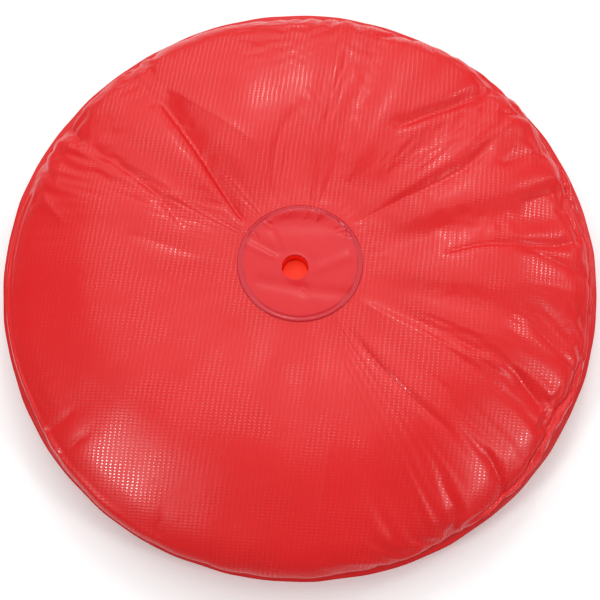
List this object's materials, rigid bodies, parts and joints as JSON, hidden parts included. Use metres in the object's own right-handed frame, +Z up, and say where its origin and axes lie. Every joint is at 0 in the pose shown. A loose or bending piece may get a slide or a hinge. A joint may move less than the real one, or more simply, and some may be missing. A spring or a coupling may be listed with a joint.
{
  "type": "balance pad",
  "caption": "Round low balance pad with a welded rim, a slack coated-fabric envelope over a foam core, and a plugged air valve recessed in the middle of its top.",
  "frame": {"origin": "middle of the underside, on the surface that the pad lies on", "axes": "+Z up through the middle of the pad, which is round about Z but for its valve; -Y is the side seen first"},
  "size_m": [0.4, 0.4, 0.058],
  "materials": {
    "coated_fabric": "gloss",
    "patch_film": "gloss",
    "valve_plastic": "satin",
    "plug_plastic": "satin",
    "seal_rubber": "matte",
    "foam": "matte"
  },
  "bodies": {
    "pad": {"bottom_skin": "coated_fabric", "foam_core": "foam", "top_skin": "coated_fabric", "valve_base": "valve_plastic", "centre_patch": "patch_film"},
    "plug": {"valve_plug": "plug_plastic", "plug_seal": "seal_rubber"}
  },
  "joints": [
    {"name": "plug_pull", "type": "slide", "parent": "pad", "child": "plug", "axis": [0, 0, 1], "range_m": [0, 0.022]}
  ]
}
